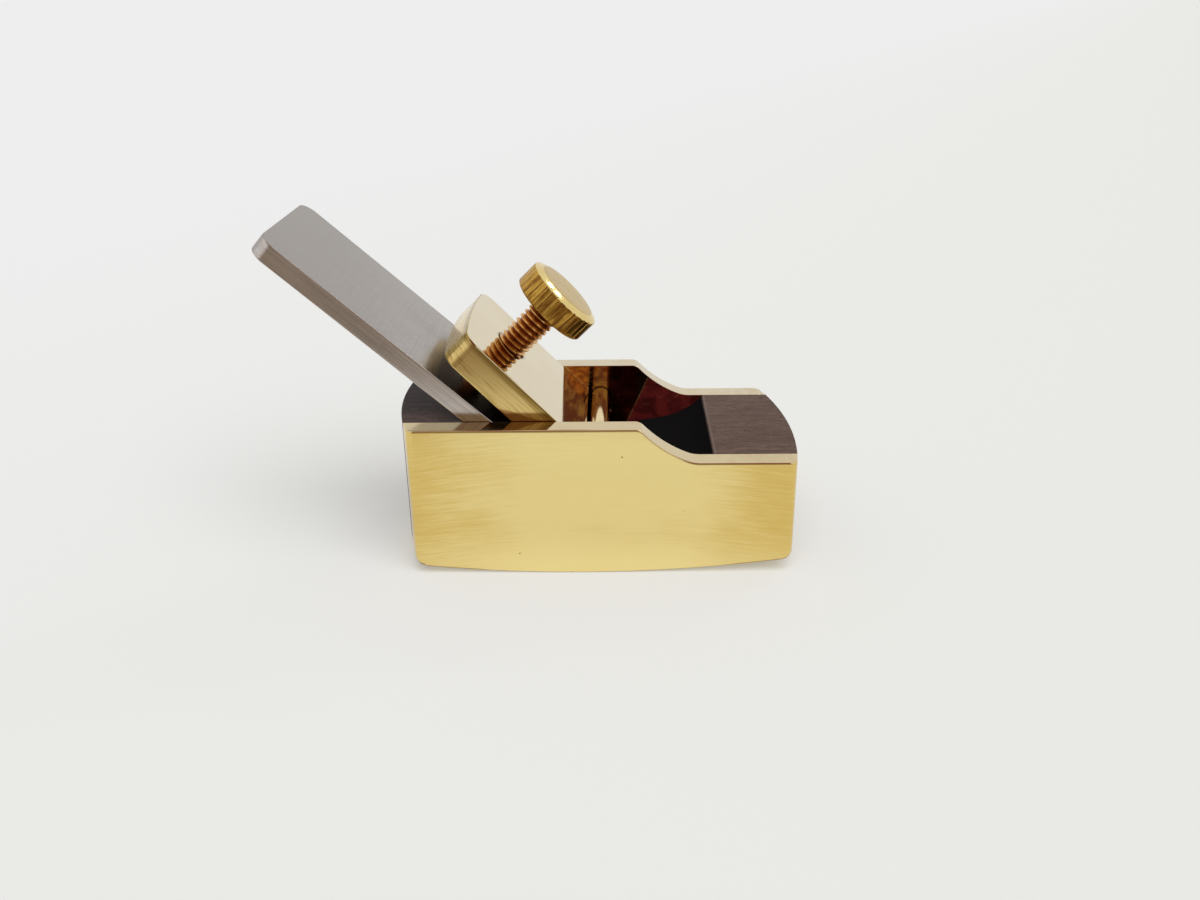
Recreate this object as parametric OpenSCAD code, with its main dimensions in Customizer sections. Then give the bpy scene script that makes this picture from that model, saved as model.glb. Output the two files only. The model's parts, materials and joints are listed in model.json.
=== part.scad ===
// Small brass infill finger plane for curved work, with a lever cap and a thumbscrew.
// The toe points to +X, the right cheek is on -Y, and Z is up from the lowest line of the sole.
// The origin is on the line where the curved sole touches a flat bench.
// Lengths are in millimetres, angles in degrees.

/* [Body] */
// Length from the sole's lowest line back to the heel corners of the cheeks
heel_l = 20.9; // [19:0.1:26]
// Length from the sole's lowest line forward to the toe corners of the cheeks
toe_l = 26.2; // [25:0.2:32]
// Width over both cheeks
body_w = 26.8; // [22:0.2:34]
// How far the rounded rear end stands out past the corners
heel_bulge = 2.3; // [1:0.1:4]
// How far the rounded front end stands out past the corners
toe_bulge = 1.6; // [0.8:0.1:4]
// How far out of square the rounded front end is filed, right side forward
toe_skew = 3.5; // [0:0.5:5]
// Radius of the four upright corners
corner_r = 1.4; // [0.3:0.1:1.8]

/* [Sole] */
// Thickness of the sole where it is lowest
sole_t = 3.6; // [3:0.1:4.5]
// Radius of the lengthwise curve of the sole
sole_r = 190; // [150:5:400]
// Radius of the worn edge where the sole meets each end
sole_edge_r = 1.0; // [0.5:0.1:1.6]
// Opening between the cutting edge and the front of the mouth
mouth_gap = 0.8; // [0.3:0.1:1.5]

/* [Cheeks] */
// Thickness of a cheek
cheek_t = 2.9; // [2:0.1:4]
// Height of the cheeks at the heel
heel_h = 19.8; // [18:0.1:24]
// Height of the cheeks at the toe
toe_h = 15.3; // [13:0.1:17]
// Where the top edge starts to fall towards the toe
slope_x = 7.7; // [6:0.1:9]
// Radius of the hollow slope between heel and toe
slope_r = 15.8; // [13:0.2:24]
// Radius that ends the slope at the toe level
slope_foot_r = 4; // [2:0.5:8]
// Steepness of the slope where the foot radius starts
slope_foot_a = 22; // [15:1:28]
// Radius of the shoulder at the top of the slope
shoulder_r = 1.7; // [0.5:0.1:2.5]

/* [Blade] */
// Angle of the bed and the blade over the sole
bed_a = 42; // [40:0.5:44]
// Place of the cutting edge along the length
edge_x = 10.9; // [10:0.1:12]
// Length of the blade
blade_l = 64.1; // [55:0.5:75]
// Thickness of the blade
blade_t = 2.4; // [1.8:0.1:2.6]
// Angle ground on the underside of the blade
bevel_a = 30; // [25:1:35]
// Radius of the blade's two upper corners
blade_corner_r = 2.2; // [1:0.1:4]
// Clearance between each edge of the blade or cap and its cheek
side_gap = 0.15; // [0.1:0.05:0.4]
// Air left between a loose piece and the face that it bears on
seat_gap = 0.02; // [0.01:0.01:0.05]

/* [Infill] */
// Where the level top of the front infill ends
front_top_x = 17.2; // [16:0.1:18]
// Radius of the scoop behind the front infill's top
scoop_r = 10.5; // [8:0.5:14]
// Steepness at the upper end of the scoop
scoop_top_a = 48; // [40:1:55]
// Steepness at the lower end of the scoop
scoop_foot_a = 9; // [5:1:14]
// Angle of the throat wall over the sole
throat_a = 66; // [60:1:80]
// Diameter of the flush cross rivets
rivet_d = 2; // [1.5:0.1:2.4]
// Height of the rivets over the top of the sole
rivet_h = 4.6; // [3:0.1:6]
// Distance from the corners of the cheeks to the nearest rivet
rivet_inset = 4.2; // [3:0.1:5]
// Spacing of the two rivets in the rear infill
rear_rivet_pitch = 11; // [6:0.5:12]
// Spacing of the two rivets in the front infill
front_rivet_pitch = 7; // [5:0.5:8]

/* [Cross pin] */
// Diameter of the pin that the cap is levered under
pin_d = 2.65; // [2:0.05:3.2]
// Distance from the cutting edge up the blade to the pin
pin_l = 16.2; // [15.5:0.1:17]
// Air left between a flush pin and its hole
pin_gap = 0.01; // [0.005:0.005:0.02]

/* [Lever cap] */
// How much steeper the cap lies than the blade
cap_lean = 4; // [3:0.5:5]
// Thickness of the cap
cap_t = 4.15; // [3.6:0.05:4.6]
// How far the pin's centre stands over the cap's face
pin_over_cap = 0.6; // [0.4:0.05:0.9]
// Radius of the groove that the pin sits in
groove_r = 2.8; // [2.4:0.1:3.6]
// Length of the cap from the pin to its upper end
cap_upper_l = 22.8; // [20:0.1:26]
// Length of the cap from the pin to the tip that presses on the blade
cap_lower_l = 11.5; // [10:0.1:13]
// Level land between the pin's groove and the thinned tip
cap_land_l = 1; // [0.5:0.1:2]
// Thickness of that tip
cap_tip_t = 0.7; // [0.4:0.1:1.2]
// Radius of the cap's two upper corners
cap_corner_r = 2.3; // [1:0.1:4]
// How far the cap's upper end is bowed
cap_bulge = 0.6; // [0.3:0.1:1]

/* [Thumbscrew] */
// Outer diameter of the thread
thread_d = 4.17; // [3.5:0.01:5]
// Pitch of the thread
thread_pitch = 0.794; // [0.6:0.002:1]
// Radial clearance of the thread in the cap's hole
thread_gap = 0.08; // [0.05:0.01:0.15]
// Distance from the pin to the screw along the cap
screw_l = 15.9; // [13:0.1:18]
// Distance from the cap's face to the underside of the head
head_rise = 7; // [5:0.1:10]
// Diameter of the knurled head
head_d = 10.7; // [8:0.1:13]
// Thickness of the knurled head
head_t = 3.55; // [3:0.05:5]
// Width of the polished slope round the top of the head
head_slope_w = 1.15; // [0.5:0.05:2]
// Height of that slope
head_slope_h = 0.45; // [0.2:0.05:0.8]
// Size of the small chamfer under the head
head_foot = 0.15; // [0.1:0.05:0.3]
// Number of grooves in the knurl
knurl_count = 34; // [24:1:44]
// Width of a knurl groove
knurl_w = 0.32; // [0.2:0.02:0.4]
// Depth of a knurl groove
knurl_depth = 0.16; // [0.1:0.02:0.3]
// Diameter of the plain end of the screw inside the head
spigot_d = 3; // [2:0.1:3.2]
// Length of that plain end
spigot_l = 2.2; // [1.5:0.1:2.3]
// Radial clearance of the plain end in the head
spigot_gap = 0.02; // [0.01:0.01:0.05]

/* [Hidden] */
$fn = 64;
eps = 0.01;
lap = 0.015;
worn_in = 0.97;
worn_up = 0.93;
far = 200;
brass = [0.85, 0.72, 0.38];
polished = [0.88, 0.78, 0.52];
dark_wood = [0.2, 0.15, 0.14];
steel = [0.62, 0.62, 0.6];

// Plan: each end is an arc through the two corners of the cheeks
half_w = body_w / 2;
inner_w = body_w - 2 * cheek_t;
heel_r = (half_w * half_w + heel_bulge * heel_bulge) / (2 * heel_bulge);
toe_r = (half_w * half_w + toe_bulge * toe_bulge) / (2 * toe_bulge);
heel_c = [-heel_l - heel_bulge + heel_r, 0];
toe_c = [toe_l + toe_bulge - toe_r * cos(toe_skew), -toe_r * sin(toe_skew)];

// Side: the slope is an arc of slope_r, then one of slope_foot_r, into the toe level
slope_top_a = acos(cos(slope_foot_a)
    - (heel_h - toe_h - slope_foot_r * (1 - cos(slope_foot_a))) / slope_r);
slope_c = [slope_x + slope_r * sin(slope_top_a), heel_h + slope_r * cos(slope_top_a)];
foot_c = slope_c - (slope_r - slope_foot_r) * [sin(slope_foot_a), cos(slope_foot_a)];
shoulder_a = acos((slope_r * cos(slope_top_a) + shoulder_r) / (slope_r + shoulder_r));
shoulder_c = slope_c - (slope_r + shoulder_r) * [sin(shoulder_a), cos(shoulder_a)];

// Heights of the sole's underside
function sole_z(x) = sole_r - sqrt(sole_r * sole_r - x * x);

// Blade: its face runs up and back from the cutting edge
edge_z = sole_z(edge_x);
blade_w = inner_w - 2 * side_gap;
blade_up = [-cos(bed_a), sin(bed_a)];
blade_out = [sin(bed_a), cos(bed_a)];
bed_p = [edge_x, edge_z] - (blade_t + seat_gap) * blade_out;

// Cap: u runs down along it from the pin, v runs out of its face
cap_a = bed_a + cap_lean;
cap_w = blade_w;
under_v = -pin_over_cap - cap_t;
// The pin stands where the cap's tip just meets the blade
pin_over_blade = seat_gap + cap_lower_l * sin(cap_lean) - under_v * cos(cap_lean);
pin_p = [edge_x, edge_z] + pin_l * blade_up + pin_over_blade * blade_out;
groove_v = groove_r - pin_d / 2 - seat_gap;
groove_half = sqrt(groove_r * groove_r - (groove_v + pin_over_cap) * (groove_v + pin_over_cap));

// Thumbscrew: its rounded end stops on the blade
thread_depth = 0.6 * thread_pitch;
core_r = thread_d / 2 - thread_depth;
stud_end_v = (core_r + seat_gap - pin_over_blade - screw_l * sin(cap_lean)) / cos(cap_lean);
head_v = head_rise - pin_over_cap;
thread_steps = 24;
thread_turns = floor((head_v - stud_end_v) / thread_pitch - 0.5);

// Throat: the front of the mouth, and the wall that leans back above it
mouth_x = edge_x + mouth_gap;
scoop_c = [front_top_x - scoop_r * sin(scoop_top_a), toe_h + scoop_r * cos(scoop_top_a)];
scoop_low = scoop_c + scoop_r * [sin(scoop_foot_a), -cos(scoop_foot_a)];
wall_run = (scoop_low[1] - sole_t - (scoop_low[0] - mouth_x) * tan(scoop_foot_a))
    / (tan(throat_a) + tan(scoop_foot_a));
wall_top = [mouth_x - wall_run, sole_t + wall_run * tan(throat_a)];

// Places of the cross rivets
rear_rivet_x = [-heel_l + rivet_inset, -heel_l + rivet_inset + rear_rivet_pitch];
front_rivet_x = [toe_l - rivet_inset - front_rivet_pitch, toe_l - rivet_inset];
rivet_z = sole_t + rivet_h;

// Points where a line at the bed's angle through bed_p reaches a height
function bed_x(z) = bed_p[0] - (z - bed_p[1]) / tan(bed_a);

// Shapes drawn in the XZ plane, given a width along Y
module along_y(w) {
    translate([0, w / 2, 0]) rotate([90, 0, 0]) linear_extrude(w) children();
}

// Shapes drawn along the cap: x is down the cap from the pin, y is out of its face
module on_cap() {
    translate([pin_p[0], 0, pin_p[1]]) rotate([0, cap_a, 0]) rotate([90, 0, 0]) children();
}

// What is cut off to round a corner: the wedge from c past the radius, less the circle,
// which is a little large so that it crosses the outline where it would only touch it
module corner_waste(c, r, a, b) {
    difference() {
        polygon([c, c + 3 * r * [cos(a), sin(a)], c + 4 * r * [cos((a + b) / 2), sin((a + b) / 2)],
            c + 3 * r * [cos(b), sin(b)]]);
        translate(c) circle(r + lap);
    }
}

// Outline of the whole body seen from above
module plan_2d() {
    difference() {
        intersection() {
            translate(heel_c) circle(heel_r, $fn = 128);
            translate(toe_c) circle(toe_r, $fn = 128);
            translate([-far / 2, -half_w]) square([far, body_w]);
        }
        for (side = [-1, 1]) {
            plan_corner(heel_c, heel_r, -1, side);
            plan_corner(toe_c, toe_r, 1, side);
        }
    }
}

// Rounds one upright corner, between a cheek's face and an end
module plan_corner(c, end_r, front, side) {
    y = half_w - corner_r;
    rise = y - side * c[1];
    reach = sqrt((end_r - corner_r) * (end_r - corner_r) - rise * rise);
    scale([front, side])
        corner_waste([front * c[0] + reach, y], corner_r, 90, atan2(rise, reach));
}

// Outline of a cheek seen from the side, above the sole
module side_2d() {
    difference() {
        translate([-far / 2, sole_t]) square([far, heel_h - sole_t]);
        slope_air_2d();
        corner_waste(shoulder_c, shoulder_r, 90, 90 - shoulder_a);
    }
}

// The open space above the slope and the toe
module slope_air_2d() {
    intersection() {
        translate(slope_c) circle(slope_r, $fn = 128);
        polygon([slope_c, slope_c - 2 * slope_r * [sin(slope_foot_a), cos(slope_foot_a)],
            slope_c + [-3 * slope_r, -2 * slope_r], slope_c + [-3 * slope_r, 0]]);
    }
    translate(foot_c) circle(slope_foot_r);
    polygon([foot_c, slope_c, [far, slope_c[1]], [far, toe_h], [foot_c[0], toe_h]]);
}

module cheek(side) {
    intersection() {
        linear_extrude(heel_h + 1) plan_2d();
        difference() {
            translate([0, side * (half_w - cheek_t / 2), 0]) along_y(cheek_t) side_2d();
            cross_hole(pin_p[0], pin_p[1], pin_d);
            for (x = concat(rear_rivet_x, front_rivet_x)) cross_hole(x, rivet_z, rivet_d);
        }
    }
}

// A hole right through the body for a flush pin
module cross_hole(x, z, d) {
    translate([x, 0, z]) rotate([90, 0, 0]) cylinder(d = d + 2 * pin_gap, h = body_w + 2, center = true);
}

// A flush pin across the body
module cross_rod(x, z, d) {
    translate([x, 0, z]) rotate([90, 0, 0]) cylinder(d = d, h = body_w, center = true);
}

module right_cheek() {
    color(brass) cheek(-1);
}

module left_cheek() {
    color(brass) cheek(1);
}

module sole() {
    color(brass) difference() {
        intersection() {
            translate([0, 0, -1]) linear_extrude(sole_t + 2) plan_2d();
            along_y(body_w + 2) intersection() {
                translate([0, sole_r]) circle(sole_r, $fn = 256);
                translate([-far / 4, -1]) square([far / 2, sole_t + 1]);
            }
        }
        along_y(inner_w) polygon([[bed_x(-1), -1], [mouth_x, -1], [mouth_x, sole_t + 1],
            [bed_x(sole_t + 1), sole_t + 1]]);
        sole_end_waste(heel_c, heel_r, sole_z(heel_l + heel_bulge / 2));
        sole_end_waste(toe_c, toe_r, sole_z(toe_l + toe_bulge / 2));
    }
}

// What is worn off the lower edge of one end, meeting the end and the sole at a slight angle
module sole_end_waste(c, end_r, z) {
    rim = [end_r - worn_in * sole_edge_r, z + worn_up * sole_edge_r];
    translate(c) rotate_extrude($fn = 256) difference() {
        translate([rim[0], -1]) square([sole_edge_r + 2, rim[1] + 1]);
        translate(rim) circle(sole_edge_r);
    }
}

// Infill between the cheeks, cut to an outline seen from the side
module infill(xs) {
    intersection() {
        linear_extrude(heel_h + 1) plan_2d();
        difference() {
            along_y(inner_w) children();
            for (x = xs) cross_hole(x, rivet_z, rivet_d);
        }
    }
}

module rear_infill() {
    color(dark_wood) infill(rear_rivet_x) polygon([[-far / 4, sole_t], [bed_x(sole_t), sole_t],
        [bed_x(heel_h), heel_h], [-far / 4, heel_h]]);
}

module front_infill() {
    color(dark_wood) infill(front_rivet_x) difference() {
        polygon([[mouth_x, sole_t], [far / 4, sole_t], [far / 4, toe_h], [front_top_x, toe_h],
            scoop_c, [wall_top[0], scoop_c[1]], wall_top]);
        translate(scoop_c) circle(scoop_r, $fn = 128);
        polygon([scoop_c, scoop_low, wall_top, [wall_top[0], scoop_c[1]]]);
    }
}

module rear_infill_rivets() {
    color(brass) for (x = rear_rivet_x) cross_rod(x, rivet_z, rivet_d);
}

module front_infill_rivets() {
    color(brass) for (x = front_rivet_x) cross_rod(x, rivet_z, rivet_d);
}

module cross_pin() {
    color(polished) cross_rod(pin_p[0], pin_p[1], pin_d);
}

// Blade lying flat: x runs up from the cutting edge, z out of its face
module blade() {
    bevel_l = blade_t / tan(bevel_a);
    color(steel) translate([edge_x, 0, edge_z]) rotate([0, bed_a, 0]) mirror([1, 0, 0])
        intersection() {
            along_y(blade_w) polygon([[0, 0], [blade_l, 0], [blade_l, -blade_t], [bevel_l, -blade_t]]);
            translate([0, 0, -blade_t - 1]) linear_extrude(blade_t + 2) difference() {
                translate([0, -blade_w / 2]) square([blade_l, blade_w]);
                for (side = [-1, 1]) scale([1, side])
                    corner_waste([blade_l - blade_corner_r, blade_w / 2 - blade_corner_r],
                        blade_corner_r, 90, 0);
            }
        }
}

// Outline of the cap seen from the side, with the pin's groove and the thinned tip
module cap_side_2d() {
    difference() {
        polygon([[-cap_upper_l, under_v], [cap_lower_l, under_v], [cap_lower_l, under_v + cap_tip_t],
            [groove_half + cap_land_l, -pin_over_cap], [-cap_upper_l, -pin_over_cap]]);
        translate([0, groove_v]) circle(groove_r);
    }
}

// Outline of the cap seen square to its face, with a bowed upper end
module cap_plan_2d() {
    bow_r = (cap_w * cap_w / 4 + cap_bulge * cap_bulge) / (2 * cap_bulge);
    y = cap_w / 2 - cap_corner_r;
    reach = sqrt((bow_r - cap_corner_r) * (bow_r - cap_corner_r) - y * y);
    difference() {
        intersection() {
            translate([-cap_upper_l, -cap_w / 2]) square([cap_upper_l + cap_lower_l + 1, cap_w]);
            translate([bow_r - cap_upper_l, 0]) circle(bow_r, $fn = 128);
        }
        for (side = [-1, 1]) scale([-1, side])
            corner_waste([cap_upper_l - bow_r + reach, y], cap_corner_r, 90, atan2(y, reach));
    }
}

module lever_cap() {
    color(polished) difference() {
        intersection() {
            on_cap() translate([0, 0, -cap_w / 2]) linear_extrude(cap_w) cap_side_2d();
            on_cap() rotate([-90, 0, 0]) translate([0, 0, -cap_t - 2])
                linear_extrude(cap_t + 4) cap_plan_2d();
        }
        on_cap() translate([-screw_l, under_v - 1, 0]) rotate([-90, 0, 0])
            cylinder(d = thread_d + 2 * thread_gap, h = cap_t + 2);
    }
}

// Places its children on the screw's axis, with z running out of the cap's face
module on_screw() {
    on_cap() translate([-screw_l, 0, 0]) rotate([-90, 0, 0]) children();
}

// Corners of the thread's section at one step, counted from the lower end
function ridge(i) = let (a = 360 * i / thread_steps, z = thread_pitch * i / thread_steps,
    lead = min(1, i / thread_steps * 2, (thread_steps * thread_turns - i) / thread_steps * 2),
    d = [cos(a), sin(a)], low = core_r - 0.05, high = core_r + max(0.02, thread_depth * lead),
    foot = 0.47 * thread_pitch, crest = 0.06 * thread_pitch)
    [[low * d[0], low * d[1], z - foot], [high * d[0], high * d[1], z - crest],
     [high * d[0], high * d[1], z + crest], [low * d[0], low * d[1], z + foot]];

// The thread: a ridge wound round the core, fading out at both ends
module thread_ridge() {
    n = thread_steps * thread_turns;
    points = [for (i = [0:n]) each ridge(i)];
    walls = [for (i = [0:n - 1]) for (k = [0:3]) let (p = 4 * i + k, q = 4 * i + (k + 1) % 4)
        each [[p, q, p + 4], [q, q + 4, p + 4]]];
    ends = [[0, 3, 2], [0, 2, 1], [4 * n, 4 * n + 1, 4 * n + 2], [4 * n, 4 * n + 2, 4 * n + 3]];
    polyhedron(points = points, faces = concat(walls, ends));
}

module screw_stud() {
    color(polished) on_screw() {
        // Core with a rounded end, and the plain end inside the head
        translate([0, 0, stud_end_v]) sphere(core_r);
        translate([0, 0, stud_end_v]) cylinder(r = core_r, h = head_v - stud_end_v);
        translate([0, 0, head_v - eps]) cylinder(d = spigot_d, h = spigot_l + eps);
        translate([0, 0, head_v - (thread_turns + 0.5) * thread_pitch]) thread_ridge();
    }
}

module screw_head() {
    color(polished) on_screw() translate([0, 0, head_v + seat_gap]) difference() {
        intersection() {
            linear_extrude(head_t) knurl_2d();
            rotate_extrude() polygon([[0, 0], [head_d / 2 - head_foot, 0], [head_d / 2, head_foot],
                [head_d / 2, head_t - head_slope_h], [head_d / 2 - head_slope_w, head_t], [0, head_t]]);
        }
        translate([0, 0, -1]) cylinder(d = spigot_d + 2 * spigot_gap, h = spigot_l + 1 + spigot_gap);
    }
}

// Round outline with evenly spaced grooves
module knurl_2d() {
    step = 360 / knurl_count;
    groove_a = asin(knurl_w / head_d);
    difference() {
        circle(d = head_d, $fn = 4 * knurl_count);
        for (i = [0:knurl_count - 1]) rotate(i * step)
            polygon([[head_d / 2 - knurl_depth, 0], head_d / 2 * [cos(groove_a), sin(groove_a)],
                [head_d / 2 + 1, 0], head_d / 2 * [cos(groove_a), -sin(groove_a)]]);
    }
}

sole();
right_cheek();
left_cheek();
rear_infill();
front_infill();
rear_infill_rivets();
front_infill_rivets();
cross_pin();
blade();
lever_cap();
screw_stud();
screw_head();
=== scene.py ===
import json
import math
import bmesh
import bpy
from mathutils import Matrix, Vector, noise


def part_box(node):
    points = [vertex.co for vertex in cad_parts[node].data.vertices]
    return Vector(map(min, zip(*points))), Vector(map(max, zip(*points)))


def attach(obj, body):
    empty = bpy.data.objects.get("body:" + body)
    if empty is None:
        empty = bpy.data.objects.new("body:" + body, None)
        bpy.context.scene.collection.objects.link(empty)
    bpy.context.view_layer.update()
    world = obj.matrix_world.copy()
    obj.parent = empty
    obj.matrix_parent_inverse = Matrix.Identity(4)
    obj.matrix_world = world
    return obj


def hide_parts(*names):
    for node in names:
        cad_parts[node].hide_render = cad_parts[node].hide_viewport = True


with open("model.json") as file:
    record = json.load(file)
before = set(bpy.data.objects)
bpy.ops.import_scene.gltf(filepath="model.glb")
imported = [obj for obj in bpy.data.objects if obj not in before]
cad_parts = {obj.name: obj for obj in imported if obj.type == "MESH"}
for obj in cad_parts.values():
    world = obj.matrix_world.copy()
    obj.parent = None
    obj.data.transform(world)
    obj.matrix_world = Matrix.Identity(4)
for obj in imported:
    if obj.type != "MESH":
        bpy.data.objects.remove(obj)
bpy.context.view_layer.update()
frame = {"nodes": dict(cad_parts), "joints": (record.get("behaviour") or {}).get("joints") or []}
nodes = frame["nodes"]
mm = 0.001
print("frame loaded:", len(nodes), "nodes")


class Term:  # one socket of a node tree, ready for sums
    def __init__(self, look, socket):
        self.look = look
        self.socket = socket

    def math(self, operation, *values):
        return self.look.node("Math", {"operation": operation}, dict(enumerate(values)))

    def __add__(self, other):
        return self.math("ADD", self, other)

    def __radd__(self, other):
        return self.math("ADD", other, self)

    def __sub__(self, other):
        return self.math("SUBTRACT", self, other)

    def __rsub__(self, other):
        return self.math("SUBTRACT", other, self)

    def __mul__(self, other):
        return self.math("MULTIPLY", self, other)

    def __rmul__(self, other):
        return self.math("MULTIPLY", other, self)

    def __pow__(self, other):
        return self.math("POWER", self, other)

    def __rpow__(self, other):
        return self.math("POWER", other, self)

    def __abs__(self):
        return self.math("ABSOLUTE", self)

    def larger(self, other):
        return self.math("MAXIMUM", self, other)

    def step(self, low, high):  # 0 below low, 1 above high, smooth between
        return self.look.node("MapRange", {"interpolation_type": "SMOOTHSTEP"},
                              {"Value": self, "From Min": low, "From Max": high})


class Look:  # a node tree and what it is built from
    def __init__(self, owner):
        owner.use_nodes = True
        self.owner = owner
        self.tree = owner.node_tree
        self.tree.nodes.clear()

    def node(self, kind, settings=None, sockets=None, output=0):
        made = self.tree.nodes.new("ShaderNode" + kind)
        for key, value in (settings or {}).items():
            setattr(made, key, value)
        for key, value in (sockets or {}).items():
            if isinstance(value, Term):
                self.tree.links.new(value.socket, made.inputs[key])
            else:
                made.inputs[key].default_value = value
        return Term(self, made.outputs[output]) if len(made.outputs) else None

    def place(self):  # the point, in the part's own frame
        return self.node("TexCoord", output="Object")

    def facing(self):  # the direction that the surface faces
        return self.node("TexCoord", output="Normal")

    def axes(self, vector):
        split = self.node("SeparateXYZ", None, {0: vector})
        return [Term(self, output) for output in split.socket.node.outputs]

    def vector(self, x, y, z):
        return self.node("CombineXYZ", None, {0: x, 1: y, 2: z})

    def along(self, vector, direction):  # how far a point lies along a direction
        return self.node("VectorMath", {"operation": "DOT_PRODUCT"},
                         {0: vector, 1: direction}, output="Value")

    def noise(self, vector, scale, detail=2, roughness=0.5, distortion=0):
        return self.node("TexNoise", None, {"Vector": vector, "Scale": scale, "Detail": detail,
                                            "Roughness": roughness, "Distortion": distortion})

    def grain(self, axes, recipe):
        # noise drawn out by three scales, which its detail, roughness and distortion follow in the recipe
        drawn = self.vector(*(axis * scale for axis, scale in zip(axes, recipe)))
        return self.noise(drawn, 1, *recipe[3:])

    def cells(self, vector, scale):  # distance to the nearest of many scattered points
        return self.node("TexVoronoi", None, {"Vector": vector, "Scale": scale}, output="Distance")

    def tint(self, factor, low, high):
        return self.node("Mix", {"data_type": "RGBA"}, {0: factor, 6: opaque(low), 7: opaque(high)}, output=2)

    def rare(self, cells, place, scale, low, high):  # a mask of cells, kept only in patches of the surface
        return cells * self.noise(place, scale, 1).step(low, high)

    def bump(self, height, distance, normal=None):
        sockets = {"Height": height, "Distance": distance, "Strength": 1}
        if normal is not None:
            sockets["Normal"] = normal
        return self.node("Bump", None, sockets)

    def finish(self, **sockets):
        named = {key.replace("_", " "): opaque(value) for key, value in sockets.items()}
        shader = self.node("BsdfPrincipled", None, named)
        self.node("OutputMaterial", None, {"Surface": shader})
        return self.owner


def opaque(value):  # a colour written with three numbers gets its alpha
    return (*value, 1) if isinstance(value, tuple) and len(value) == 3 else value


def newLook(name):
    return Look(bpy.data.materials.new(name))


def dress(piece, material):
    piece.data.materials.clear()
    piece.data.materials.append(material)


def keepPiece(mesh, name, body, replaced, material):
    piece = bpy.data.objects.new(name, mesh)
    bpy.context.scene.collection.objects.link(piece)
    dress(piece, material)
    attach(piece, body)
    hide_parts(replaced)
    return piece


def finishedMesh(bm, name, sharpFrom):  # smooth, but for the edges that turn more than sharpFrom
    mesh = bpy.data.meshes.new(name)
    bm.to_mesh(mesh)
    bm.free()
    mesh.shade_smooth()
    mesh.set_sharp_from_angle(angle=sharpFrom)
    mesh.update()
    return mesh


def joinRings(bm, near, far):
    count = len(near)
    for i in range(count):
        bm.faces.new((near[i], near[(i + 1) % count], far[(i + 1) % count], far[i]))


easing = {"segments": 3, "facingMore": 0.35, "sharpFrom": math.radians(28), "flatWithin": math.radians(0.15),
          "weldWithin": 1e-6, "flatWeight": 100}


def easeRims(bm, towards, widthOf):
    # rounds each sharp rim between the faces that look along towards and their neighbours
    segments = easing["segments"]
    bm.normal_update()
    facing = {face: face.normal.dot(towards) > easing["facingMore"] for face in bm.faces}
    rims = [edge for edge in bm.edges if len(edge.link_faces) == 2
            and facing[edge.link_faces[0]] != facing[edge.link_faces[1]]]
    sharp = [edge for edge in rims if edge.calc_face_angle(0) > easing["sharpFrom"]]
    met = {}
    for edge in rims + sharp:
        for vert in edge.verts:
            met[vert] = met.get(vert, 0) + 1
    rows = {}
    for vert in {vert: True for edge in sharp for vert in edge.verts}:
        width = widthOf(vert.co) if met[vert] == 4 else 0  # a rim that ends or branches runs out to nothing
        if not width:
            rows[vert] = [vert] * (segments + 1)
            continue
        top, side = Vector(), Vector()
        for face in vert.link_faces:
            if facing[face]:
                top += face.normal
            else:
                side += face.normal
        top.normalize()
        side.normalize()
        share = top.dot(side)
        start = vert.co + width * (top * share - side).normalized()
        end = vert.co + width * (side * share - top).normalized()
        rows[vert] = [bm.verts.new(start * (1 - s) ** 2 + vert.co * 2 * s * (1 - s) + end * s * s)
                      for s in (j / segments for j in range(segments + 1))]
    fresh = []
    for edge in sharp:
        top = edge.link_faces[0] if facing[edge.link_faces[0]] else edge.link_faces[1]
        a, b = edge.verts
        corners = list(top.verts)
        if corners[(corners.index(a) + 1) % len(corners)] is not b:
            a, b = b, a
        for j in range(segments):
            fresh.append((rows[b][j], rows[a][j], rows[a][j + 1], rows[b][j + 1]))
    stale = [face for face in bm.faces if any(vert in rows for vert in face.verts)]
    for face in stale:
        row = 0 if facing[face] else -1
        fresh.append(tuple(rows[vert][row] if vert in rows else vert for vert in face.verts))
    bmesh.ops.delete(bm, geom=stale, context="FACES_ONLY")
    for corners in fresh:
        corners = list(dict.fromkeys(corners))
        if len(corners) > 2:
            bm.faces.new(corners)
    bmesh.ops.delete(bm, geom=[vert for vert in bm.verts if not vert.link_faces], context="VERTS")


def easedMesh(nodeName, sides, cutAt=None):
    # the node's own solid, with the rims of the given sides rounded
    bm = bmesh.new()
    bm.from_mesh(nodes[nodeName].data)
    bmesh.ops.remove_doubles(bm, verts=bm.verts, dist=easing["weldWithin"])
    bmesh.ops.dissolve_limit(bm, angle_limit=easing["flatWithin"], verts=bm.verts, edges=bm.edges)
    if cutAt is not None:  # a level cut, so that the rims can run out below it
        everything = bm.verts[:] + bm.edges[:] + bm.faces[:]
        bmesh.ops.bisect_plane(bm, geom=everything, plane_co=(0, 0, cutAt), plane_no=(0, 0, 1))
    for towards, widthOf in sides:
        easeRims(bm, Vector(towards), widthOf)
    bmesh.ops.dissolve_degenerate(bm, dist=easing["weldWithin"], edges=bm.edges)
    mesh = finishedMesh(bm, nodeName + "Eased", easing["sharpFrom"])
    # flat faces keep their own shading where a rounded rim meets them
    holder = bpy.data.objects.new("easing", mesh)
    bpy.context.scene.collection.objects.link(holder)
    weighted = holder.modifiers.new("weighted", "WEIGHTED_NORMAL")
    weighted.keep_sharp = True
    weighted.weight = easing["flatWeight"]
    bpy.context.view_layer.update()
    made = bpy.data.meshes.new_from_object(holder.evaluated_get(bpy.context.evaluated_depsgraph_get()))
    bpy.data.objects.remove(holder)
    return made


def smoothStep(value, low, high):
    share = min(1, max(0, (value - low) / (high - low)))
    return share * share * (3 - 2 * share)


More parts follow.
